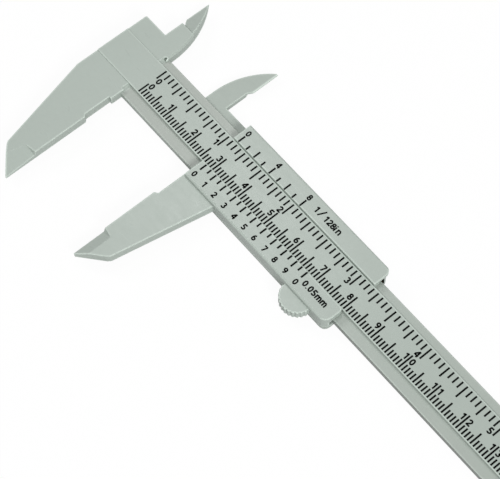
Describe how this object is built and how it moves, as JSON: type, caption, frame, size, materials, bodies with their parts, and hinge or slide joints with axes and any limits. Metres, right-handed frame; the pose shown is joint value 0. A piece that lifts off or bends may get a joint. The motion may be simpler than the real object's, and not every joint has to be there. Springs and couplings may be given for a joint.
{
  "type": "vernier caliper",
  "caption": "Moulded plastic vernier caliper with outside jaws, crossing inside jaws, two vernier plates, a thumb rest and a depth rod.",
  "frame": {"origin": "middle of the full-thickness part of the fixed outside jaw's measuring face", "axes": "+X along the beam from the fixed measuring face towards the free end, +Y from the outside jaws towards the inside jaws, +Z out of the scales"},
  "size_m": [0.2522, 0.0721, 0.0056],
  "materials": {
    "front_plastic": "satin moulded",
    "back_plastic": "satin moulded",
    "brass_leaf": "rolled sheet",
    "screw_steel": "zinc plated"
  },
  "bodies": {
    "beam": {"beam": "front_plastic", "end_stop": "back_plastic", "end_stop_screws": "screw_steel"},
    "slider": {"sliding_jaw": "front_plastic", "inch_plate": "front_plastic", "slider_back": "back_plastic", "depth_rod": "back_plastic", "gib_spring": "brass_leaf"}
  },
  "joints": [
    {"name": "slider_travel", "type": "slide", "parent": "beam", "child": "slider", "axis": [1, 0, 0], "range_m": [-0.0284, 0.1216]}
  ]
}
